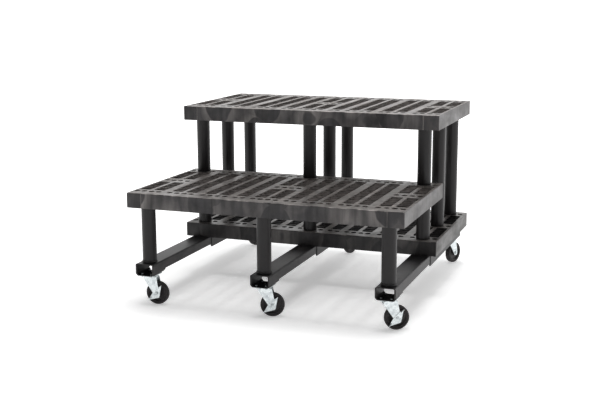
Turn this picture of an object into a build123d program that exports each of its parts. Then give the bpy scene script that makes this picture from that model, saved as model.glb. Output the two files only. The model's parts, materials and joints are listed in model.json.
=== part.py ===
"""Two-step rolling display riser: three vented decks on pipe posts, three cross beams and six swivel casters.

Frame: millimetres, +Z up, +X along the decks, +Y from the low front step to the high back.
The origin is on the floor, under the middle of the object's bounding box.
"""
from math import atan2, cos, degrees, radians, sin
import os

from build123d import *

# Overall layout
overall_depth = 1676.4  # front edge of the step deck to the back edge of the top deck
base_top_z = 345.5  # upper face of the base shelf
step_top_z = 682.0  # upper face of the step deck
crown_top_z = 1111.5  # upper face of the top deck

# Decks
deck_length = 1676.4
deck_depth = 914.4
deck_height = 88.9
deck_top_wall = 7.0
deck_side_wall = 5.0
deck_corner_radius = 7.0
deck_edge_radius = 4.0
socket_inset_x = 101.6  # socket centre from the end of the deck
socket_inset_y = 76.2  # socket centre from the long edge of the deck
socket_wall = 7.5
lower_socket_depth = 50.0
upper_socket_depth = 30.0

# Vent pattern of a deck
slot_width = 70.0
slot_pitch = 93.0  # between the two slots of a group
slot_corner_radius = 8.0
end_group_inset = 99.0  # middle of the end group from the end of the deck
group_pitch = 213.0
single_slot_offset = 156.0  # single slots either side of the centre group
slot_end_margin = 130.0  # from the long edge of the deck to the end of a slot
mid_land = 124.0  # solid band across the middle of the end and centre groups
vent_inset = 84.0  # row of round vents from the long edge
vent_diameter = 34.0
vent_pitch = 46.5
rib_thickness = 4.0
web_depth = 45.0
cross_rib_depth = 30.0
cross_rib_recess = 2.0  # below the upper face, so the ribs show in the slots
cross_rib_count = 14
groove_inset = 95.0  # upright groove in the long skirts, from the end of the deck
groove_width = 6.0
groove_depth = 1.5

# Posts
post_diameter = 83.5
post_wall = 4.5
post_clearance = 0.4

# Beams
beam_width = 118.0
beam_height = 54.0  # front segment
block_height = 73.0  # caster blocks and the rear segment
beam_wall = 9.0
beam_top_wall = 4.0
beam_corner_radius = 10.0
block_corner_chamfer = 12.0
block_length = 150.0
block_floor = 3.0
block_floor_relief = 16.0  # floor left out next to the channel
beam_end_setback = 6.0
beam_rib_pitch = 120.0
beam_rib_thickness = 5.0
beam_rib_start = 330.0  # first rib from the front end of a segment
collar_height = 12.0
collar_wall = 2.6

# Joint between the front and the rear beam segment
joint_setback = 28.0  # middle of the joint behind the front edge of the base shelf
joint_length = 36.0
joint_recess = 3.0
tongue_length = 60.0
tongue_clearance = 0.4

# Casters
plate_length = 102.0
plate_width = 114.0
plate_thickness = 5.0
plate_corner_radius = 10.0
bolt_spacing_x = 60.0
bolt_spacing_y = 90.0
bolt_diameter = 8.0
bolt_clearance = 0.5
bolt_head_width = 13.0
bolt_head_height = 6.5
nut_height = 6.5
bolt_tail = 1.5
thread_clearance = 0.05
race_diameter = 66.0
race_height = 10.0
race_gap = 0.4
kingpin_diameter = 12.0
kingpin_nut_width = 22.0
kingpin_nut_height = 7.0
shaft_clearance = 0.07
crown_thickness = 5.0
fork_gap = 42.0
fork_thickness = 3.5
fork_back = 33.0  # reach of the fork's top ahead of the swivel axis
fork_front = 46.0  # reach of the fork's top on the trailing side
fork_shoulder = 16.0  # straight depth of the legs under the crown
fork_tip_radius = 19.0
trail = 46.0
wheel_diameter = 140.0
tread_width = 33.0
hub_width = 40.0
hub_radius = 19.0
web_half_width = 6.0
rim_radius = 50.0
tread_radius = 58.0
tread_round = 8.0
axle_diameter = 10.0
axle_head_width = 17.0
axle_head_height = 6.0

# Brake rockers of the front casters
brake_gap = 0.3
brake_thickness = 3.0
brake_tip = (34.0, 51.0)
brake_tail = (-51.0, -44.0)
brake_corner = (19.0, -25.0)  # outer corner of the kite-shaped plate
brake_shoulders = ((-25.0, 1.0), (9.0, 34.0))  # on the side of the fork
brake_corner_radius = 12.0
brake_shoulder_radius = 20.0
pedal_thickness = 3.0
pedal_width = 24.0
pedal_reach = 13.0

# Directions in which the casters trail, as degrees from +X
trailing = {
    "left_front": 4.0,
    "centre_front": 16.0,
    "right_front": 30.0,
    "left_rear": 60.0,
    "centre_rear": 74.0,
    "right_rear": 68.0,
}

# Places that follow from the sizes above
rear_swing = sin(radians(max(angle for place, angle in trailing.items() if "rear" in place)))
rear_overhang = (trail + wheel_diameter / 2) * rear_swing - socket_inset_y  # wheels past the back edge
front_y = -(overall_depth + rear_overhang) / 2
back_y = front_y + overall_depth
upper_front_y = back_y - deck_depth
beam_top_z = base_top_z - deck_height
mount_z = beam_top_z - block_height
column_x = {
    "left": socket_inset_x - deck_length / 2,
    "centre": 0.0,
    "right": deck_length / 2 - socket_inset_x,
}
leg_y = front_y + socket_inset_y
seam_y = upper_front_y + socket_inset_y  # the step deck's back sockets line up with the upper front ones
inner_y = upper_front_y + deck_depth / 2
rear_y = back_y - socket_inset_y
joint_y = upper_front_y + joint_setback
beam_front_y = front_y + beam_end_setback
beam_rear_y = back_y - beam_end_setback
bore_radius = post_diameter / 2 + post_clearance
axle_z = wheel_diameter / 2
race_z = mount_z - plate_thickness - race_height
crown_z = race_z - race_gap  # upper face of the fork crown


def write(builder, name):
    """Label a finished piece and write it to its own STEP file."""
    builder.part.label = name
    export_step(builder.part, f"parts/{name}.step")


def slot_columns():
    """Centres along X of the slots: (x, split in two by the middle land)."""
    columns = []
    for side in (-1, 1):
        end_x = deck_length / 2 - end_group_inset
        for group in range(3):
            for step in (-slot_pitch / 2, slot_pitch / 2):
                columns.append((side * (end_x - group * group_pitch + step), group == 0))
        columns.append((side * single_slot_offset, False))
        columns.append((side * slot_pitch / 2, True))
    return sorted(columns)


def socket_points(rows):
    """Socket centres of a deck for the given rows in depth, measured from the deck's middle."""
    return [(x, y) for x in column_x.values() for y in rows]


def deck_moulding():
    """Vented moulding that the three decks share: a shell with skirts, webs, cross ribs and sockets below.

    Its middle is on the Z axis and its underside on Z = 0.
    """
    edge_row = deck_depth / 2 - socket_inset_y
    slot_run = deck_depth - 2 * slot_end_margin
    half_run = (slot_run - mid_land) / 2
    columns = slot_columns()
    column_xs = [x for x, split in columns]
    web_xs = [(a + b) / 2 for a, b in zip(column_xs, column_xs[1:])]
    below_top = Plane.XY.offset(deck_height - deck_top_wall)
    top_face = Plane.XY.offset(deck_height)
    with BuildPart() as deck:
        with BuildSketch():
            RectangleRounded(deck_length, deck_depth, deck_corner_radius)
        extrude(amount=deck_height)
        fillet(deck.faces().sort_by(Axis.Z)[-1].edges(), deck_edge_radius)
        with BuildSketch():
            RectangleRounded(deck_length - 2 * deck_side_wall, deck_depth - 2 * deck_side_wall,
                             deck_corner_radius - deck_side_wall)
        extrude(amount=deck_height - deck_top_wall, mode=Mode.SUBTRACT)
        with BuildSketch(below_top):
            for x in web_xs:
                with Locations((x, 0)):
                    Rectangle(rib_thickness, deck_depth - deck_side_wall)
        extrude(amount=-web_depth)
        with BuildSketch():
            with Locations(*socket_points((-edge_row, 0, edge_row))):
                Circle(bore_radius + socket_wall)
        extrude(amount=deck_height - deck_top_wall)
        with BuildSketch(top_face):
            for x, split in columns:
                if split:
                    with Locations((x, (mid_land + half_run) / 2), (x, -(mid_land + half_run) / 2)):
                        RectangleRounded(slot_width, half_run, slot_corner_radius)
                else:
                    with Locations((x, 0)):
                        RectangleRounded(slot_width, slot_run, slot_corner_radius)
        extrude(amount=-deck_top_wall, mode=Mode.SUBTRACT)
        with BuildSketch(top_face.offset(-cross_rib_recess)):
            with GridLocations(0, slot_run / (cross_rib_count - 1), 1, cross_rib_count):
                Rectangle(deck_length - deck_side_wall, rib_thickness)
        extrude(amount=-cross_rib_depth)
        with BuildSketch(top_face):
            for x, split in columns:
                rows = [vent_inset - deck_depth / 2, deck_depth / 2 - vent_inset] + ([0] if split else [])
                with Locations(*[(x + s * vent_pitch / 2, y) for s in (-1, 1) for y in rows]):
                    Circle(vent_diameter / 2)
        extrude(amount=-deck_top_wall, mode=Mode.SUBTRACT)
        with BuildSketch():
            with Locations(*socket_points((-edge_row, 0, edge_row))):
                Circle(bore_radius)
        extrude(amount=lower_socket_depth, mode=Mode.SUBTRACT)
        with BuildSketch():
            groove_x = deck_length / 2 - groove_inset
            with Locations(*[(sx * groove_x, sy * deck_depth / 2) for sx in (-1, 1) for sy in (-1, 1)]):
                Rectangle(groove_width, 2 * groove_depth)
        extrude(amount=deck_height - 2 * deck_edge_radius, mode=Mode.SUBTRACT)
    return deck.part


def make_deck(name, moulding, deck_front_y, top_z, standing_rows):
    """Deck: the shared moulding in its place, with sockets for the posts that stand on it."""
    middle_y = deck_front_y + deck_depth / 2
    with BuildPart() as deck:
        with Locations((0, middle_y, top_z - deck_height)):
            add(moulding)
        if standing_rows:
            with BuildSketch(Plane((0, middle_y, top_z))):
                with Locations(*socket_points([y - middle_y for y in standing_rows])):
                    Circle(bore_radius)
            extrude(amount=-upper_socket_depth, mode=Mode.SUBTRACT)
    write(deck, name)


def make_post(name, x, y, bottom_z, top_z):
    """Straight pipe standing between two seats."""
    with BuildPart() as post:
        with BuildSketch(Plane((x, y, bottom_z))):
            Circle(post_diameter / 2)
            Circle(post_diameter / 2 - post_wall, mode=Mode.SUBTRACT)
        extrude(amount=top_z - bottom_z)
    write(post, name)


def beam_outline(height):
    """Cross section of a beam with rounded upper corners, hanging from the sketch's X axis."""
    with BuildSketch(Plane.XY) as outline:
        with Locations((0, -height / 2)):
            Rectangle(beam_width, height)
        fillet(outline.vertices().group_by(Axis.Y)[-1], beam_corner_radius)
    return outline.sketch


def inside_outline(depth):
    """Cross section of the space inside a beam, from its top wall down."""
    with BuildSketch(Plane.XY) as outline:
        with Locations((0, -beam_top_wall - depth / 2)):
            Rectangle(beam_width - 2 * beam_wall, depth)
        fillet(outline.vertices().group_by(Axis.Y)[-1], beam_corner_radius - beam_top_wall)
    return outline.sketch


def make_beam(name, x, start_y, end_y, caster_y, height):
    """Beam segment: an upturned channel with a floored caster block round the caster's place."""
    at_front = caster_y < (start_y + end_y) / 2
    block_start = start_y if at_front else end_y - block_length
    relief_y = block_start + block_length if at_front else block_start
    beam_plane = cross_plane(x, start_y)
    block_plane = cross_plane(x, block_start)
    block_space = block_height - beam_top_wall - block_floor
    blank, channel, space = beam_outline(height), inside_outline(height), inside_outline(block_space)
    with BuildSketch(Plane.XY) as block:
        add(beam_outline(block_height))
        chamfer(block.vertices().group_by(Axis.Y)[0], block_corner_chamfer)
    with BuildSketch(Plane.XY) as block_inside:
        add(space)
        chamfer(block_inside.vertices().group_by(Axis.Y)[0], block_corner_chamfer - block_floor)
    with BuildPart() as beam:
        with BuildSketch(beam_plane):
            add(blank)
        extrude(amount=-(end_y - start_y))
        with BuildSketch(beam_plane):
            add(channel)
        extrude(amount=-(end_y - start_y), mode=Mode.SUBTRACT)
        with BuildSketch(block_plane):
            add(block.sketch)
        extrude(amount=-block_length)
        with BuildSketch(block_plane):
            add(block_inside.sketch)
        extrude(amount=-block_length, mode=Mode.SUBTRACT)
        with BuildSketch(Plane((x, relief_y, mount_z))):
            Rectangle(beam_width - 2 * block_corner_chamfer, 2 * block_floor_relief)
        extrude(amount=block_floor, mode=Mode.SUBTRACT)
        for rib_y in rib_positions(start_y, end_y, at_front):
            with BuildSketch(cross_plane(x, rib_y)):
                with Locations((0, -height / 2)):
                    Rectangle(beam_width - beam_wall, height - beam_top_wall)
            extrude(amount=beam_rib_thickness / 2, both=True)
        with BuildSketch(Plane((x, caster_y, mount_z))):
            with GridLocations(bolt_spacing_x, bolt_spacing_y, 2, 2):
                Circle(bolt_diameter / 2 + bolt_clearance)
        extrude(amount=block_floor, mode=Mode.SUBTRACT)
        if at_front:
            with BuildSketch(Plane((x, caster_y, beam_top_z))):
                Circle(bore_radius + collar_wall)
                Circle(bore_radius, mode=Mode.SUBTRACT)
            extrude(amount=collar_height)
    write(beam, name)


def cross_plane(x, y):
    """Upright plane across a beam, with its origin at the beam's top."""
    return Plane((x, y, beam_top_z), x_dir=(1, 0, 0), z_dir=(0, -1, 0))


def rib_positions(start_y, end_y, at_front):
    """Ribs across a beam's channel, clear of its block and of the joint's tongue."""
    run = end_y - start_y - beam_rib_start - tongue_length - beam_rib_pitch / 2
    steps = [beam_rib_start + i * beam_rib_pitch for i in range(int(run // beam_rib_pitch) + 1)]
    return [start_y + step if at_front else end_y - step for step in steps]


def make_coupler(name, x):
    """Link between two beam segments: a collar with a tongue into each channel."""
    plane = cross_plane(x, joint_y)
    tongue_width = beam_width - 2 * beam_wall - 2 * tongue_clearance
    tongue_height = beam_height - beam_top_wall - 2 * tongue_clearance
    with BuildPart() as coupler:
        with BuildSketch(plane) as outline:
            with Locations((0, -beam_height / 2 - joint_recess)):
                Rectangle(beam_width - 2 * joint_recess, beam_height)
            fillet(outline.vertices().group_by(Axis.Y)[-1], beam_corner_radius)
        extrude(amount=joint_length / 2, both=True)
        with BuildSketch(plane) as tongue:
            with Locations((0, -beam_top_wall - tongue_clearance - tongue_height / 2)):
                Rectangle(tongue_width, tongue_height)
            fillet(tongue.vertices().group_by(Axis.Y)[-1], beam_corner_radius - beam_top_wall)
        extrude(amount=joint_length / 2 + tongue_length, both=True)
    write(coupler, name)


def make_caster(place, x, y, braked):
    """Plate caster: fixed plate with kingpin, fork, axle, wheel and, at the front, a brake rocker."""
    angle = radians(trailing[place])
    along = (cos(angle), sin(angle), 0)
    outward = (sin(angle), -cos(angle), 0)  # along the axle, towards the brake
    axle_point = (x + trail * cos(angle), y + trail * sin(angle), axle_z)
    side_plane = Plane((x, y, 0), x_dir=along, z_dir=outward)
    axle_plane = Plane(axle_point, x_dir=along, z_dir=outward)
    make_plate(f"{place}_plate", x, y)
    make_fork(f"{place}_fork", Plane((x, y, crown_z), x_dir=along, z_dir=(0, 0, 1)), side_plane)
    make_wheel(f"{place}_wheel", Plane(axle_point, x_dir=outward, z_dir=along))
    make_axle(f"{place}_axle", axle_plane, braked)
    if braked:
        make_brake(f"{place}_brake_rocker", axle_plane)


def make_plate(name, x, y):
    """Top plate with the upper ball race, and the kingpin with its nut."""
    top = Plane((x, y, mount_z))
    kingpin_length = plate_thickness + race_height + 2 * race_gap + crown_thickness
    with BuildPart() as plate:
        with BuildSketch(top):
            RectangleRounded(plate_length, plate_width, plate_corner_radius)
            with GridLocations(bolt_spacing_x, bolt_spacing_y, 2, 2):
                Circle(bolt_diameter / 2 + bolt_clearance, mode=Mode.SUBTRACT)
        extrude(amount=-plate_thickness)
        with BuildSketch(top.offset(-plate_thickness)):
            Circle(race_diameter / 2)
        extrude(amount=-race_height, taper=12)
        with BuildSketch(top):
            Circle(kingpin_diameter / 2)
        extrude(amount=-kingpin_length)
        with BuildSketch(top.offset(-kingpin_length)):
            RegularPolygon(kingpin_nut_width / 2, 6, major_radius=False)
        extrude(amount=-kingpin_nut_height)
    write(plate, name)


def make_fork(name, crown_plane, side_plane):
    """Pressed fork: a crown round the kingpin and two legs that slant back to the axle."""
    outer_width = fork_gap + 2 * fork_thickness
    crown_span = fork_back + fork_front
    with BuildPart() as fork:
        with BuildSketch(crown_plane):
            with Locations(((fork_front - fork_back) / 2, 0)):
                Rectangle(crown_span, outer_width)
        extrude(amount=-crown_thickness)
        with BuildSketch(side_plane.offset(fork_gap / 2)):
            fork_leg_profile()
        extrude(amount=fork_thickness)
        with BuildSketch(side_plane.offset(-fork_gap / 2)):
            fork_leg_profile()
        extrude(amount=-fork_thickness)
        with BuildSketch(crown_plane):
            Circle(kingpin_diameter / 2 + shaft_clearance)
        extrude(amount=-crown_thickness, mode=Mode.SUBTRACT)
        with BuildSketch(side_plane):
            with Locations((trail, axle_z)):
                Circle(axle_diameter / 2 + shaft_clearance)
        extrude(amount=outer_width, both=True, mode=Mode.SUBTRACT)
    write(fork, name)


def fork_leg_profile():
    """Side view of a fork leg: wide under the crown, rounded round the axle."""
    with Locations(((fork_front - fork_back) / 2, crown_z - fork_shoulder / 2)):
        Rectangle(fork_front + fork_back, fork_shoulder)
    with Locations((trail, axle_z)):
        Circle(fork_tip_radius)
    make_hull()


def make_wheel(name, plane):
    """Solid wheel: hub, thin web, rim and crowned tread, turned about the plane's X axis."""
    with BuildPart() as wheel:
        with BuildSketch(plane) as profile:
            with BuildLine():
                half = [
                    (hub_width / 2, axle_diameter / 2 + shaft_clearance),
                    (hub_width / 2, hub_radius),
                    (web_half_width, hub_radius + 2),
                    (web_half_width, rim_radius),
                    (tread_width / 2 - 2, tread_radius - 3),
                    (tread_width / 2, tread_radius),
                    (tread_width / 2, wheel_diameter / 2),
                ]
                Polyline(*half, *[(-a, b) for a, b in reversed(half)], close=True)
            make_face()
            fillet(profile.vertices().group_by(Axis.Y)[-1], tread_round)
        revolve(axis=Axis(plane.origin, plane.x_dir))
    write(wheel, name)


def make_axle(name, plane, braked):
    """Axle bolt: a hex head outside one fork leg and a nut outside the other."""
    half = fork_gap / 2 + fork_thickness
    nut_side = half + (2 * brake_gap + brake_thickness if braked else 0)
    with BuildPart() as axle:
        with BuildSketch(plane.offset(-half)):
            Circle(axle_diameter / 2)
        extrude(amount=half + nut_side)
        with BuildSketch(plane.offset(-half)):
            RegularPolygon(axle_head_width / 2, 6, major_radius=False)
        extrude(amount=-axle_head_height)
        with BuildSketch(plane.offset(nut_side)):
            RegularPolygon(axle_head_width / 2, 6, major_radius=False)
        extrude(amount=axle_head_height)
    write(axle, name)


def make_brake(name, plane):
    """Brake rocker: a kite-shaped plate turning on the axle, with a foot tab along each tip."""
    inner = plane.offset(fork_gap / 2 + fork_thickness + brake_gap)
    reach = (Vector(*brake_tip) - Vector(*brake_tail)).normalized()
    slant = degrees(atan2(reach.Y, reach.X))
    with BuildPart() as brake:
        with BuildSketch(inner) as outline:
            with BuildLine():
                Polyline(brake_tip, brake_corner, brake_tail, *brake_shoulders, close=True)
            make_face()
            fillet(outline.vertices().sort_by_distance((*brake_corner, 0))[0], brake_corner_radius)
            for shoulder in brake_shoulders:
                fillet(outline.vertices().sort_by_distance((*shoulder, 0))[0], brake_shoulder_radius)
            Circle(axle_diameter / 2 + shaft_clearance, mode=Mode.SUBTRACT)
        extrude(amount=brake_thickness)
        for tip, way in ((brake_tip, -1), (brake_tail, 1)):
            with BuildSketch(inner):
                with Locations(Vector(*tip) + reach * way * pedal_width / 2):
                    Rectangle(pedal_width, pedal_thickness, rotation=slant)
            extrude(amount=pedal_reach)
    write(brake, name)


def make_fasteners(caster_points):
    """Bolts down through the block floors and plates, and the nuts under the plates."""
    shank = block_floor + plate_thickness + nut_height + bolt_tail
    with BuildPart() as bolts:
        for point in caster_points:
            seat = Plane((*point, mount_z + block_floor))
            with BuildSketch(seat):
                with GridLocations(bolt_spacing_x, bolt_spacing_y, 2, 2):
                    RegularPolygon(bolt_head_width / 2, 6, major_radius=False)
            extrude(amount=bolt_head_height)
            with BuildSketch(seat):
                with GridLocations(bolt_spacing_x, bolt_spacing_y, 2, 2):
                    Circle(bolt_diameter / 2)
            extrude(amount=-shank)
    write(bolts, "caster_bolts")
    with BuildPart() as nuts:
        for point in caster_points:
            with BuildSketch(Plane((*point, mount_z - plate_thickness))):
                with GridLocations(bolt_spacing_x, bolt_spacing_y, 2, 2):
                    RegularPolygon(bolt_head_width / 2, 6, major_radius=False)
                    Circle(bolt_diameter / 2 + thread_clearance, mode=Mode.SUBTRACT)
            extrude(amount=-nut_height)
    write(nuts, "caster_nuts")


os.makedirs("parts", exist_ok=True)
moulding = deck_moulding()
make_deck("top_deck", moulding, upper_front_y, crown_top_z, [])
make_deck("step_deck", moulding, front_y, step_top_z, [seam_y])
make_deck("base_shelf", moulding, upper_front_y, base_top_z, [seam_y, inner_y, rear_y])
step_seat_z = step_top_z - deck_height + lower_socket_depth
top_seat_z = crown_top_z - deck_height + lower_socket_depth
base_seat_z = base_top_z - upper_socket_depth
for side, x in column_x.items():
    make_post(f"{side}_front_leg", x, leg_y, beam_top_z, step_seat_z)
    make_post(f"{side}_seam_post", x, seam_y, base_seat_z, step_seat_z)
    make_post(f"{side}_upper_post", x, seam_y, step_top_z - upper_socket_depth, top_seat_z)
    make_post(f"{side}_inner_post", x, inner_y, base_seat_z, top_seat_z)
    make_post(f"{side}_rear_post", x, rear_y, base_seat_z, top_seat_z)
    make_beam(f"{side}_front_beam", x, beam_front_y, joint_y - joint_length / 2, leg_y, beam_height)
    make_beam(f"{side}_rear_beam", x, joint_y + joint_length / 2, beam_rear_y, rear_y, block_height)
    make_coupler(f"{side}_beam_coupler", x)
    make_caster(f"{side}_front", x, leg_y, True)
    make_caster(f"{side}_rear", x, rear_y, False)
make_fasteners([(x, y) for x in column_x.values() for y in (leg_y, rear_y)])
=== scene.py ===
import json
from math import cos, pi, radians, sin

import bmesh
import bpy
from mathutils import Matrix, Vector


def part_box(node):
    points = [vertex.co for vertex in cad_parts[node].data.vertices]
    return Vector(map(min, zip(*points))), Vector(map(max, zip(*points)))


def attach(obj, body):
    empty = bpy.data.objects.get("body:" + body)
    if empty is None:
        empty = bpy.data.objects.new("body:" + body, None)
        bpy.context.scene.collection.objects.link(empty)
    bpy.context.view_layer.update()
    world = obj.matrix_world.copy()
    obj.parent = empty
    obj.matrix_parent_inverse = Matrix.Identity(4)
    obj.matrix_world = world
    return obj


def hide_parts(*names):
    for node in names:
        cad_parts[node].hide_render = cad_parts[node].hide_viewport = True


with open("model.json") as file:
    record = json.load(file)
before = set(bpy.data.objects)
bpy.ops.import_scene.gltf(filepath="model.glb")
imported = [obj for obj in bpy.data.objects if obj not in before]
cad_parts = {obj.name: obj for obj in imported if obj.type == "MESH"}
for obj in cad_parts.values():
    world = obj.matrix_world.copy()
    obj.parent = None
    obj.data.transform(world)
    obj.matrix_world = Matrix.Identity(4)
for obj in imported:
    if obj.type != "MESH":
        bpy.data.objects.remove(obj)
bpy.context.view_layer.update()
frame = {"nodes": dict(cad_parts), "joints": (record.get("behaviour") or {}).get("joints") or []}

nodes = frame["nodes"]
places = [side + end for side in ("left_", "centre_", "right_") for end in ("front", "rear")]
mmPerMetre = 1000  # sizes in the dictionaries are in mm, unless their note says otherwise
print("frame loaded:", len(nodes), "nodes")


# Camera, at standing height off the right end of the low step
view = {
    "position": (2.2020, -6.0504, 1.8234),  # m
    "yaw": 20.613,  # degrees, turned left of the decks' depth
    "pitch": 11.337,  # degrees, looking down
    "roll": -0.205,  # degrees
    "lens": 61.99,
    "sensorWidth": 36,
    "clipStart": 0.1,  # m
    "clipEnd": 600,  # m, past the far side of the floor
}


def makeCamera():
    data = bpy.data.cameras.new("standingView")
    data.lens = view["lens"]
    data.sensor_width = view["sensorWidth"]
    data.clip_start = view["clipStart"]
    data.clip_end = view["clipEnd"]
    camera = bpy.data.objects.new("standingView", data)
    bpy.context.scene.collection.objects.link(camera)
    turn = (Matrix.Rotation(radians(view["yaw"]), 4, "Z")
            @ Matrix.Rotation(radians(90 - view["pitch"]), 4, "X")
            @ Matrix.Rotation(radians(view["roll"]), 4, "Z"))
    camera.matrix_world = Matrix.Translation(view["position"]) @ turn
    bpy.context.scene.camera = camera


makeCamera()
print("camera placed")


# Material helpers
def linearColour(hexCode):
    channels = [int(hexCode[i:i + 2], 16) / 255 for i in (1, 3, 5)]
    return tuple(c / 12.92 if c <= 0.04045 else ((c + 0.055) / 1.055) ** 2.4 for c in channels) + (1.0,)


def addNode(tree, kind, settings=None, links=None):
    node = tree.nodes.new(kind)
    for key, value in (settings or {}).items():
        if isinstance(key, str) and hasattr(node, key):
            setattr(node, key, value)
        else:
            node.inputs[key].default_value = value
    for key, source in (links or {}).items():
        tree.links.new(source, node.inputs[key])
    return node


def startMaterial(name):
    material = bpy.data.materials.new(name)
    material.use_nodes = True
    tree = material.node_tree
    shader = tree.nodes["Principled BSDF"]
    position = addNode(tree, "ShaderNodeTexCoord").outputs["Object"]
    return material, tree, shader, position


def finishShader(tree, shader, look, colour, relief):
    tree.links.new(colour, shader.inputs["Base Color"])
    bump = addNode(tree, "ShaderNodeBump",
                   {"Strength": look["bump"], "Distance": look["bumpHeight"] / mmPerMetre},
                   {"Height": relief})
    tree.links.new(bump.outputs["Normal"], shader.inputs["Normal"])
    for key, value in look["shader"].items():
        shader.inputs[key].default_value = value


# Decks: recycled polyethylene, moulded as structural foam. The melt leaves dark bowls with crisp arcs
# and paler streaks between them, and a dusty sheen at low angles. Painted light: the upper face is painted
# paler, highlight lines run along the top edge and the groove, the slots' ribs are painted lighter, and the
# lower decks are darkened with painted shade.
deckLook = {
    "ground": "#393739",
    "warm": "#4a4747",
    "pale": "#7d7977",
    "inner": "#8c8582",  # ribs and webs inside the slots, painted lighter: painted light that lifts their shade
    "paintedEdgeHighlight": "#b3adaa",  # painted highlight line along the top of the long sides, and at the groove
    "scuffsAndPaintedTopLight": "#89837f",  # upper face, painted paler in patches: painted light on the top, laid out like scuffs
    "bowlSize": 200,  # between melt bowls
    "bowlStretch": (1, 1, 0.8),
    "driftSize": 160,  # waves that bend the bowls
    "drift": 0.03,  # share of the waves in the bowls' place
    "cloudSize": 95,  # soft clouds
    "streakSize": 42,  # across the upright streaks
    "streakStretch": (1, 1, 0.15),
    "scuffSize": 120,  # across the patches of painted top light and duller gloss, longer from front to back
    "scuffStretch": (1, 0.35, 1),
    "speckSize": 5,  # foam skin; finer in real plastic, drawn coarse enough to show
    "topSkin": 0.8,  # faces this near the top are the upper face
    "skinWall": 6,  # faces further in from the sides than this count as inner
    "innerDrop": 1.5,  # and further down from the top than this
    "edgeDrop": 3,  # height of the painted highlight line
    "sideSkin": 4,  # faces this near the long sides belong to them
    "grooveInset": 95,  # from the deck's end to its upright groove
    "grooveReach": 3.5,  # painted highlight either side of the groove
    "grooveShare": 0.3,  # how much of the painted highlight colour it takes
    "calmReach": 4,  # either side of the groove, where the melt's arcs die down towards the end
    "grain": (0.8, 1.2),  # darkest and lightest speck
    "streak": (0.62, 1.35),  # darkest and lightest streak
    "roughness": (0.28, 0.56),  # between the patches, and in them
    "bump": 0.12,
    "bumpHeight": 0.5,
    "shader": {"IOR": 1.5, "Sheen Weight": 0.14, "Sheen Roughness": 0.35,
               "Sheen Tint": linearColour("#d9d3ce")},
}

# Each deck shows its own part of the melt, offset in m. The lower ones are darkened with painted shade, and
# get less painted light inside.
decks = {
    "top_deck": {"material": "recycledPolyethyleneTopDeck", "offset": (0.31, 0.2, 0.07),
                 "paintedShading": 1.0, "inner": 1.0},
    "step_deck": {"material": "recycledPolyethyleneStepDeck", "offset": (1.73, 0.9, 0.4),
                  "paintedShading": 0.95, "inner": 0.8},
    "base_shelf": {"material": "recycledPolyethyleneBaseShelf", "offset": (3.1, 2.2, 0.9),
                   "paintedShading": 0.55, "inner": 0.0},
}


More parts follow.
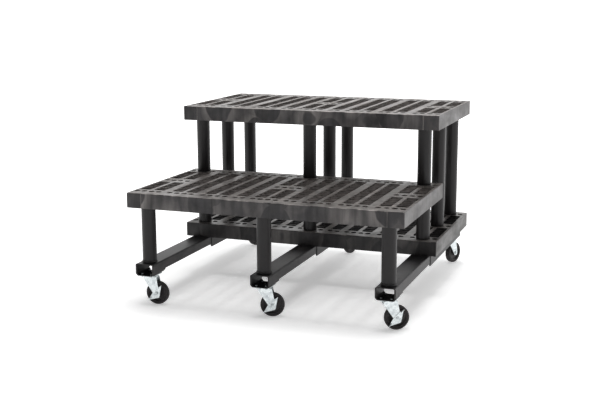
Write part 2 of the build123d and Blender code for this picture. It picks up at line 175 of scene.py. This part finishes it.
def recycledPolyethylene(deck):
    values = decks[deck]
    offset = values["offset"]
    paintedShading = values["paintedShading"]
    material, tree, shader, position = startMaterial(values["material"])
    low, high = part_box(deck)
    middle = [(low[i] + high[i]) / 2 for i in range(3)]
    half = [(high[i] - low[i]) / 2 for i in range(3)]
    wall = deckLook["skinWall"] / mmPerMetre
    calm = deckLook["calmReach"] / mmPerMetre
    groove = half[0] - deckLook["grooveInset"] / mmPerMetre
    upperFrom = half[2] - deckLook["topSkin"] / mmPerMetre
    innerBelow = half[2] - deckLook["innerDrop"] / mmPerMetre
    edgeFrom = half[2] - deckLook["edgeDrop"] / mmPerMetre
    sideFrom = half[1] - deckLook["sideSkin"] / mmPerMetre
    centred = addNode(tree, "ShaderNodeVectorMath", {"operation": "SUBTRACT", 1: middle},
                      {0: position}).outputs[0]
    folded = addNode(tree, "ShaderNodeVectorMath", {"operation": "ABSOLUTE"}, {0: centred}).outputs[0]
    across, along = addNode(tree, "ShaderNodeSeparateXYZ", {}, {0: folded}).outputs[:2]
    height = addNode(tree, "ShaderNodeSeparateXYZ", {}, {0: centred}).outputs["Z"]

    # melt pattern: bowls, clouds, streaks and specks
    moved = addNode(tree, "ShaderNodeMapping", {"Location": offset, "Scale": deckLook["bowlStretch"]},
                    {"Vector": position}).outputs["Vector"]
    waves = addNode(tree, "ShaderNodeTexNoise", {"Scale": mmPerMetre / deckLook["driftSize"], "Detail": 2},
                    {"Vector": moved}).outputs["Color"]
    bent = addNode(tree, "ShaderNodeMix",
                   {"data_type": "RGBA", "blend_type": "LINEAR_LIGHT", "Factor": deckLook["drift"]},
                   {6: moved, 7: waves}).outputs[2]
    bowls = addNode(tree, "ShaderNodeTexVoronoi", {"Scale": mmPerMetre / deckLook["bowlSize"]},
                    {"Vector": bent})
    rim = addNode(tree, "ShaderNodeMapRange",
                  {"interpolation_type": "SMOOTHSTEP", "From Min": 0.45, "From Max": 0.49},
                  {"Value": bowls.outputs["Distance"]}).outputs["Result"]
    fade = addNode(tree, "ShaderNodeMapRange",
                   {"From Min": 0.48, "From Max": 0.74, "To Min": 1.0, "To Max": 0.1},
                   {"Value": bowls.outputs["Distance"]}).outputs["Result"]
    clouds = addNode(tree, "ShaderNodeTexNoise",
                     {"Scale": mmPerMetre / deckLook["cloudSize"], "Detail": 4, "Roughness": 0.55,
                      "Distortion": 0.8}, {"Vector": moved}).outputs["Fac"]
    cloud = addNode(tree, "ShaderNodeMapRange",
                    {"interpolation_type": "SMOOTHSTEP", "From Min": 0.4, "From Max": 0.66},
                    {"Value": clouds}).outputs["Result"]
    upright = addNode(tree, "ShaderNodeMapping",
                      {"Location": offset, "Scale": deckLook["streakStretch"]},
                      {"Vector": position}).outputs["Vector"]
    streaks = addNode(tree, "ShaderNodeTexNoise",
                      {"Scale": mmPerMetre / deckLook["streakSize"], "Detail": 3, "Roughness": 0.5},
                      {"Vector": upright}).outputs["Fac"]
    speck = addNode(tree, "ShaderNodeTexNoise",
                    {"Scale": mmPerMetre / deckLook["speckSize"], "Detail": 3, "Roughness": 0.7},
                    {"Vector": position}).outputs["Fac"]
    calmEnd = addNode(tree, "ShaderNodeMapRange",
                      {"From Min": groove + calm, "From Max": groove - calm, "To Min": 0.15, "To Max": 1.0},
                      {"Value": across}).outputs["Result"]
    chosen = addNode(tree, "ShaderNodeMapRange", {"From Min": 0.25, "From Max": 0.7, "To Min": 0.25},
                     {"Value": bowls.outputs["Color"]}).outputs["Result"]
    pale = rim
    for factor in (fade, chosen, calmEnd):
        pale = addNode(tree, "ShaderNodeMath", {"operation": "MULTIPLY"}, {0: pale, 1: factor}).outputs[0]
    colour = addNode(tree, "ShaderNodeMix", {"data_type": "RGBA", 6: linearColour(deckLook["ground"]),
                                             7: linearColour(deckLook["warm"])}, {0: cloud}).outputs[2]

    # upper face, painted paler in long scuff-like patches that leave the melt showing: painted light on the
    # top
    patches = addNode(tree, "ShaderNodeMapping",
                      {"Location": offset, "Scale": deckLook["scuffStretch"]},
                      {"Vector": position}).outputs["Vector"]
    patches = addNode(tree, "ShaderNodeTexNoise",
                      {"Scale": mmPerMetre / deckLook["scuffSize"], "Detail": 5, "Roughness": 0.6,
                       "Distortion": 0.5}, {"Vector": patches}).outputs["Fac"]
    scuffsAndPaintedTopLight = addNode(tree, "ShaderNodeMapRange",
                      {"From Min": 0.32, "From Max": 0.66, "To Min": 0.3, "To Max": 0.85},
                      {"Value": patches}).outputs["Result"]
    upper = addNode(tree, "ShaderNodeMath", {"operation": "GREATER_THAN", 1: upperFrom},
                    {0: height}).outputs[0]
    scuffsAndPaintedTopLight = addNode(tree, "ShaderNodeMath", {"operation": "MULTIPLY"}, {0: scuffsAndPaintedTopLight, 1: upper}).outputs[0]

    # painted highlight along the top edge, and a painted highlight line at the groove
    nearTop = addNode(tree, "ShaderNodeMath", {"operation": "GREATER_THAN", 1: edgeFrom},
                      {0: height}).outputs[0]
    nearSide = addNode(tree, "ShaderNodeMath", {"operation": "GREATER_THAN", 1: sideFrom},
                       {0: along}).outputs[0]
    paintedEdgeHighlight = nearTop
    for factor in (nearSide, cloud):
        paintedEdgeHighlight = addNode(tree, "ShaderNodeMath", {"operation": "MULTIPLY"}, {0: paintedEdgeHighlight, 1: factor}).outputs[0]
    paintedGrooveHighlight = addNode(tree, "ShaderNodeMath",
                        {"operation": "COMPARE", 1: groove, 2: deckLook["grooveReach"] / mmPerMetre},
                        {0: across}).outputs[0]
    paintedGrooveHighlight = addNode(tree, "ShaderNodeMath", {"operation": "MULTIPLY"},
                        {0: paintedGrooveHighlight, 1: nearSide}).outputs[0]
    paintedGrooveHighlight = addNode(tree, "ShaderNodeMath",
                        {"operation": "MULTIPLY", 1: deckLook["grooveShare"] * paintedShading ** 3},
                        {0: paintedGrooveHighlight}).outputs[0]
    wearAndPaintedHighlight = addNode(tree, "ShaderNodeMath", {"operation": "MAXIMUM"}, {0: paintedEdgeHighlight, 1: paintedGrooveHighlight}).outputs[0]

    # inner faces of the slots, painted lighter: painted light lifting their shade
    paintedLightInside = addNode(tree, "ShaderNodeMath", {"operation": "LESS_THAN", 1: innerBelow},
                     {0: height}).outputs[0]
    for distance, reach in ((across, half[0]), (along, half[1])):
        within = addNode(tree, "ShaderNodeMath", {"operation": "LESS_THAN", 1: reach - wall},
                         {0: distance}).outputs[0]
        paintedLightInside = addNode(tree, "ShaderNodeMath", {"operation": "MULTIPLY"},
                         {0: paintedLightInside, 1: within}).outputs[0]
    paintedLightInside = addNode(tree, "ShaderNodeMath", {"operation": "MULTIPLY", 1: values["inner"]},
                     {0: paintedLightInside}).outputs[0]

    # layers over the melt: pale melt, painted light on the upper face, painted highlights on edge and
    # groove, painted light inside the slots
    for layer, share in (("pale", pale), ("scuffsAndPaintedTopLight", scuffsAndPaintedTopLight), ("paintedEdgeHighlight", wearAndPaintedHighlight), ("inner", paintedLightInside)):
        colour = addNode(tree, "ShaderNodeMix", {"data_type": "RGBA", 7: linearColour(deckLook[layer])},
                         {0: share, 6: colour}).outputs[2]
    # specks; the whole colour is scaled by paintedShading, which is painted shade on the lower decks
    darkest, lightest = deckLook["grain"]
    grain = addNode(tree, "ShaderNodeMapRange", {"To Min": darkest * paintedShading, "To Max": lightest * paintedShading},
                    {"Value": speck}).outputs["Result"]
    darkest, lightest = deckLook["streak"]
    streaked = addNode(tree, "ShaderNodeMapRange",
                       {"From Min": 0.35, "From Max": 0.65, "To Min": darkest, "To Max": lightest},
                       {"Value": streaks}).outputs["Result"]
    grain = addNode(tree, "ShaderNodeMath", {"operation": "MULTIPLY"}, {0: grain, 1: streaked}).outputs[0]
    colour = addNode(tree, "ShaderNodeVectorMath", {"operation": "SCALE"},
                     {0: colour, "Scale": grain}).outputs["Vector"]
    smoothest, dullest = deckLook["roughness"]
    gloss = addNode(tree, "ShaderNodeMapRange",
                    {"From Min": 0.3, "From Max": 0.7, "To Min": smoothest, "To Max": dullest},
                    {"Value": patches}).outputs["Result"]
    tree.links.new(gloss, shader.inputs["Roughness"])
    finishShader(tree, shader, deckLook, colour, speck)
    return material


# Posts: black polyethylene pipe, extruded. Faint lines along its length and a satin sheen.
postLook = {
    "dark": "#1e1b1c",
    "worn": "#2e2a2b",
    "lineWidth": 4,  # die lines; finer in real pipe, drawn coarse enough to show
    "lineStretch": (1, 1, 0.03),  # draws them out along the pipe
    "scuffSize": 60,
    "roughness": (0.28, 0.46),
    "bump": 0.12,
    "bumpHeight": 0.4,
    "shader": {"IOR": 1.5},
}


def extrudedPipe(name):
    material, tree, shader, position = startMaterial(name)
    drawn = addNode(tree, "ShaderNodeMapping", {"Scale": postLook["lineStretch"]},
                    {"Vector": position}).outputs["Vector"]
    lines = addNode(tree, "ShaderNodeTexNoise",
                    {"Scale": mmPerMetre / postLook["lineWidth"], "Detail": 3, "Roughness": 0.6},
                    {"Vector": drawn}).outputs["Fac"]
    scuffs = addNode(tree, "ShaderNodeTexNoise",
                     {"Scale": mmPerMetre / postLook["scuffSize"], "Detail": 5, "Roughness": 0.65},
                     {"Vector": position}).outputs["Fac"]
    worn = addNode(tree, "ShaderNodeMapRange", {"From Min": 0.45, "From Max": 0.75},
                   {"Value": scuffs}).outputs["Result"]
    both = addNode(tree, "ShaderNodeMath", {"operation": "MULTIPLY"}, {0: worn, 1: lines}).outputs[0]
    colour = addNode(tree, "ShaderNodeMix", {"data_type": "RGBA", 6: linearColour(postLook["dark"]),
                                             7: linearColour(postLook["worn"])}, {0: both}).outputs[2]
    smoothest, dullest = postLook["roughness"]
    gloss = addNode(tree, "ShaderNodeMapRange", {"To Min": smoothest, "To Max": dullest},
                    {"Value": scuffs}).outputs["Result"]
    tree.links.new(gloss, shader.inputs["Roughness"])
    finishShader(tree, shader, postLook, colour, lines)
    return material


# Beams: the same plastic moulded as hollow beams, greyer where handling has rubbed the flanks.
beamLook = {
    "dark": "#212021",
    "wearAndPaintedHighlight": "#3f3c3d",
    "cloudSize": 140,
    "skinSize": 4,
    "grain": (0.85, 1.15),  # darkest and lightest speck
    "roughness": (0.34, 0.52),
    # painted shade: the coupler between the beam segments is a darker copy of the beam plastic
    "couplerPaintedShade": 0.55,
    "bump": 0.2,
    "bumpHeight": 0.5,
    "shader": {"IOR": 1.5},
}


def mouldedBeamPlastic(name, paintedShading=1.0):
    material, tree, shader, position = startMaterial(name)
    clouds = addNode(tree, "ShaderNodeTexNoise",
                     {"Scale": mmPerMetre / beamLook["cloudSize"], "Detail": 5, "Roughness": 0.6,
                      "Distortion": 0.6}, {"Vector": position}).outputs["Fac"]
    skin = addNode(tree, "ShaderNodeTexNoise",
                   {"Scale": mmPerMetre / beamLook["skinSize"], "Detail": 3, "Roughness": 0.7},
                   {"Vector": position}).outputs["Fac"]
    wearAndPaintedHighlight = addNode(tree, "ShaderNodeMapRange",
                     {"interpolation_type": "SMOOTHSTEP", "From Min": 0.38, "From Max": 0.7},
                     {"Value": clouds}).outputs["Result"]
    colour = addNode(tree, "ShaderNodeMix", {"data_type": "RGBA", 6: linearColour(beamLook["dark"]),
                                             7: linearColour(beamLook["wearAndPaintedHighlight"])}, {0: wearAndPaintedHighlight}).outputs[2]
    darkest, lightest = beamLook["grain"]
    # paintedShading below 1 makes a darker copy of the plastic: painted shade
    grain = addNode(tree, "ShaderNodeMapRange", {"To Min": darkest * paintedShading, "To Max": lightest * paintedShading},
                    {"Value": skin}).outputs["Result"]
    colour = addNode(tree, "ShaderNodeVectorMath", {"operation": "SCALE"},
                     {0: colour, "Scale": grain}).outputs["Vector"]
    smoothest, dullest = beamLook["roughness"]
    gloss = addNode(tree, "ShaderNodeMapRange", {"To Min": smoothest, "To Max": dullest},
                    {"Value": clouds}).outputs["Result"]
    tree.links.new(gloss, shader.inputs["Roughness"])
    finishShader(tree, shader, beamLook, colour, skin)
    return material


# Caster steel: pressed sheet, bright zinc plated. Pale, faintly blue, with crystal-sized shifts in gloss.
zincLook = {
    "bright": "#e4e9ea",
    "dull": "#b9bfc2",
    "crystal": 7,  # real crystals are nearer 1 mm, drawn coarser to show
    "blotchSize": 22,
    "roughness": 0.3,
    "boltRoughness": 0.55,
    # painted light: the bolts' zinc is a brighter copy, as if light reached into the block openings
    "boltPaintedLight": 1.05,
    "spread": (-0.06, 0.1),  # roughness of the glossiest and dullest crystals, against the middle
    "bump": 0.1,
    "bumpHeight": 0.3,
    "shader": {"Metallic": 1.0},
}


def brightZinc(name, paintedShading=1.0, roughness=zincLook["roughness"]):
    material, tree, shader, position = startMaterial(name)
    crystals = addNode(tree, "ShaderNodeTexVoronoi", {"Scale": mmPerMetre / zincLook["crystal"]},
                       {"Vector": position}).outputs["Color"]
    blotches = addNode(tree, "ShaderNodeTexNoise",
                       {"Scale": mmPerMetre / zincLook["blotchSize"], "Detail": 4, "Roughness": 0.6},
                       {"Vector": position}).outputs["Fac"]
    tarnish = addNode(tree, "ShaderNodeMapRange", {"From Min": 0.42, "From Max": 0.72},
                      {"Value": blotches}).outputs["Result"]
    colour = addNode(tree, "ShaderNodeMix", {"data_type": "RGBA", 6: linearColour(zincLook["bright"]),
                                             7: linearColour(zincLook["dull"])}, {0: tarnish}).outputs[2]
    # paintedShading above 1 makes a brighter copy of the zinc: painted light
    colour = addNode(tree, "ShaderNodeVectorMath", {"operation": "SCALE", "Scale": paintedShading},
                     {0: colour}).outputs["Vector"]
    glossier, duller = zincLook["spread"]
    gloss = addNode(tree, "ShaderNodeMapRange",
                    {"To Min": roughness + glossier, "To Max": roughness + duller},
                    {"Value": crystals}).outputs["Result"]
    tree.links.new(gloss, shader.inputs["Roughness"])
    finishShader(tree, shader, zincLook, colour, blotches)
    return material


# Tyre: black rubber, matt, greyed by floor dust.
tyreLook = {
    "plain": "#343132",
    "worn": "#4a4546",
    "patchSize": 12,
    "detail": (6, 0.7),  # octaves, and how strong the finer ones are
    "wornRange": (0.45, 0.7),
    "bump": 0.3,
    "bumpHeight": 0.4,
    "shader": {"Roughness": 0.62, "IOR": 1.52},
}

# Wheel core: moulded polyolefin, black, smoother than the tyre and rubbed a little paler.
coreLook = {
    "plain": "#3b3839",
    "worn": "#524d4e",
    "patchSize": 9,
    "detail": (5, 0.65),
    "wornRange": (0.4, 0.75),
    "bump": 0.15,
    "bumpHeight": 0.3,
    "shader": {"Roughness": 0.42, "IOR": 1.5},
}


def wheelBlack(name, look):
    material, tree, shader, position = startMaterial(name)
    octaves, fineness = look["detail"]
    start, full = look["wornRange"]
    patches = addNode(tree, "ShaderNodeTexNoise",
                      {"Scale": mmPerMetre / look["patchSize"], "Detail": octaves, "Roughness": fineness},
                      {"Vector": position}).outputs["Fac"]
    worn = addNode(tree, "ShaderNodeMapRange", {"From Min": start, "From Max": full},
                   {"Value": patches}).outputs["Result"]
    colour = addNode(tree, "ShaderNodeMix", {"data_type": "RGBA", 6: linearColour(look["plain"]),
                                             7: linearColour(look["worn"])}, {0: worn}).outputs[2]
    finishShader(tree, shader, look, colour, patches)
    return material


def dress(name, material):
    slots = nodes[name].data.materials
    slots.clear()
    slots.append(material)


postPipe = extrudedPipe("extrudedPolyethylenePipe")
beamPlastic = mouldedBeamPlastic("mouldedPolyethyleneBeam")
# the coupler's copy is darkened as painted shade
couplerPaintedShadePlastic = mouldedBeamPlastic("mouldedPolyethyleneCouplerPaintedShade", beamLook["couplerPaintedShade"])
zinc = brightZinc("brightZincPressing")
# bolts: a brighter copy of the zinc, painted light
boltZincPaintedLight = brightZinc("brightZincBoltPaintedLight", zincLook["boltPaintedLight"], zincLook["boltRoughness"])
tyre = wheelBlack("mattTyreRubber", tyreLook)
core = wheelBlack("mouldedPolyolefinCore", coreLook)
for deck in decks:
    dress(deck, recycledPolyethylene(deck))
for name in nodes:
    if name.endswith(("_leg", "_post")):
        dress(name, postPipe)
    elif name.endswith("_beam"):
        dress(name, beamPlastic)
    elif name.endswith("_coupler"):
        dress(name, couplerPaintedShadePlastic)
    elif name.endswith(("_bolts", "_nuts", "_axle")):
        dress(name, boltZincPaintedLight)
    elif name.endswith(("_plate", "_fork", "_rocker")):
        dress(name, zinc)
    elif name.endswith("_wheel"):
        dress(name, tyre)
print("materials made")


# Wheels: a rubber tyre with rounded shoulders over a core that is dished on both faces. Each outline is
# half of a section, as radius and distance from the wheel's middle plane, turned about the axle.
wheelShape = {
    "core": ((5.3, 20), (17.6, 20), (18.8, 18.8), (19, 9.5), (21.5, 6.8), (45.5, 6), (48.8, 8.2),
             (49.6, 15), (50.8, 16.2), (53.4, 16.2), (54.4, 15.2), (54.7, 12.5)),
    "tyre": ((55, 12.5), (55.4, 15), (56.4, 15.9), (57.6, 16.5), (61.8, 16.5)),
    "shoulder": (62, 8.5),  # centre of the shoulder's arc
    "shoulderRadius": 8,
    "shoulderSteps": 9,
    "turns": 96,  # faces round the wheel
    "sharpAngle": 38,  # degrees; flatter bends are shaded smooth
}


def tyreOutline():
    radius, offset = wheelShape["shoulder"]
    bend = wheelShape["shoulderRadius"]
    steps = wheelShape["shoulderSteps"]
    arc = [(radius + bend * sin(pi / 2 * i / steps), offset + bend * cos(pi / 2 * i / steps))
           for i in range(1, steps + 1)]
    return list(wheelShape["tyre"]) + arc


def revolve(name, outline, spin):
    section = list(outline) + [(radius, -offset) for radius, offset in reversed(outline)]
    turns = wheelShape["turns"]
    build = bmesh.new()
    rings = []
    for i in range(turns):
        angle = 2 * pi * i / turns
        rings.append([build.verts.new((radius * cos(angle) / mmPerMetre,
                                       radius * sin(angle) / mmPerMetre,
                                       offset / mmPerMetre)) for radius, offset in section])
    for i, ring in enumerate(rings):
        following = rings[(i + 1) % turns]
        for j in range(len(section)):
            k = (j + 1) % len(section)
            build.faces.new((ring[j], following[j], following[k], ring[k])).smooth = True
    bmesh.ops.recalc_face_normals(build, faces=build.faces)
    mesh = bpy.data.meshes.new(name)
    build.to_mesh(mesh)
    build.free()
    mesh.set_sharp_from_angle(angle=radians(wheelShape["sharpAngle"]))
    onAxle = Vector(spin["axis"]).to_track_quat("Z", "Y").to_matrix().to_4x4()
    mesh.transform(Matrix.Translation(spin["pos_m"]) @ onAxle)
    piece = bpy.data.objects.new(name, mesh)
    bpy.context.scene.collection.objects.link(piece)
    return piece


joints = {joint["name"]: joint for joint in frame["joints"]}
for place in places:
    spin = joints[place + "_wheel_spin"]
    tyrePiece = revolve(place + "_tyre", tyreOutline(), spin)
    corePiece = revolve(place + "_wheel_core", wheelShape["core"], spin)
    tyrePiece.data.materials.append(tyre)
    corePiece.data.materials.append(core)
    for piece in (tyrePiece, corePiece):
        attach(piece, place + "_roller")
    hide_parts(place + "_wheel")
print("wheels turned")


# Floor and light: a white floor that glows as painted light, faint under the object and full far from it,
# one softbox straight overhead, and a sky that is bright low behind the decks and dim in front, so tops and
# right faces shine and fronts stay dark
studio = {
    "floorColour": "#f4f4f4",
    "floorRoughness": 0.95,
    "paintedFloorGlow": (0.43, 1.0),  # under the object, and far from it
    "glowReach": (1.6, 4.5),  # m from the middle, where the glow starts and stops growing
    "floorSize": 400,  # m
    "bright": 1.5,  # sky strength low behind the decks
    "dim": 0.16,  # sky strength elsewhere
    "brightWay": (0.15, 0.95, 0.2),
    "brightReach": (0.2, 0.85),  # cosine of the turn from that way, where the sky starts and stops growing
    "overhead": {"place": (0, 0, 14), "aim": (0, 0, 0), "size": 5.2, "watts": 880},  # places and sizes in m
    "right": {"place": (5.6, 0.8, 2.4), "aim": (0, 0, 0.6), "size": 2.6, "watts": 12},
    "gamma": 0.85,  # deepens the blacks against the white ground
}


def makeFloor():
    half = studio["floorSize"] / 2
    mesh = bpy.data.meshes.new("studioFloor")
    corners = [(-half, -half, 0), (half, -half, 0), (half, half, 0), (-half, half, 0)]
    mesh.from_pydata(corners, [], [(0, 1, 2, 3)])
    floor = bpy.data.objects.new("studioFloor", mesh)
    bpy.context.scene.collection.objects.link(floor)
    material, tree, shader, position = startMaterial("paleStudioFloor")
    shader.inputs["Base Color"].default_value = linearColour(studio["floorColour"])
    shader.inputs["Roughness"].default_value = studio["floorRoughness"]
    shader.inputs["Specular IOR Level"].default_value = 0.0
    # painted light: the floor glows, faint near the middle and full far from it
    reach = addNode(tree, "ShaderNodeVectorMath", {"operation": "LENGTH"}, {0: position}).outputs["Value"]
    near, far = studio["glowReach"]
    weakest, strongest = studio["paintedFloorGlow"]
    paintedGlow = addNode(tree, "ShaderNodeMapRange",
                   {"interpolation_type": "SMOOTHSTEP", "From Min": near, "From Max": far,
                    "To Min": weakest, "To Max": strongest}, {"Value": reach}).outputs["Result"]
    tree.links.new(paintedGlow, shader.inputs["Emission Strength"])
    shader.inputs["Emission Color"].default_value = (1, 1, 1, 1)
    mesh.materials.append(material)


def makeLight(name):
    values = studio[name]
    data = bpy.data.lights.new(name + "Softbox", "AREA")
    data.shape = "SQUARE"
    data.size = values["size"]
    data.energy = values["watts"]
    light = bpy.data.objects.new(name + "Softbox", data)
    bpy.context.scene.collection.objects.link(light)
    light.location = values["place"]
    aim = Vector(values["aim"]) - Vector(values["place"])
    light.rotation_euler = aim.to_track_quat("-Z", "Y").to_euler()
    light.visible_camera = False


def makeSky():
    world = bpy.data.worlds.new("whiteStudio")
    world.use_nodes = True
    tree = world.node_tree
    direction = addNode(tree, "ShaderNodeTexCoord").outputs["Generated"]
    way = tuple(Vector(studio["brightWay"]).normalized())
    toLight = addNode(tree, "ShaderNodeVectorMath", {"operation": "DOT_PRODUCT", 1: way},
                      {0: direction}).outputs["Value"]
    start, full = studio["brightReach"]
    strength = addNode(tree, "ShaderNodeMapRange",
                       {"interpolation_type": "SMOOTHSTEP", "From Min": start, "From Max": full,
                        "To Min": studio["dim"], "To Max": studio["bright"]},
                       {"Value": toLight}).outputs["Result"]
    background = tree.nodes["Background"]
    background.inputs["Color"].default_value = (1, 1, 1, 1)
    tree.links.new(strength, background.inputs["Strength"])
    bpy.context.scene.world = world


makeFloor()
makeLight("overhead")
makeLight("right")
makeSky()
bpy.context.scene.view_settings.view_transform = "Standard"
bpy.context.scene.view_settings.gamma = studio["gamma"]
print("studio set")
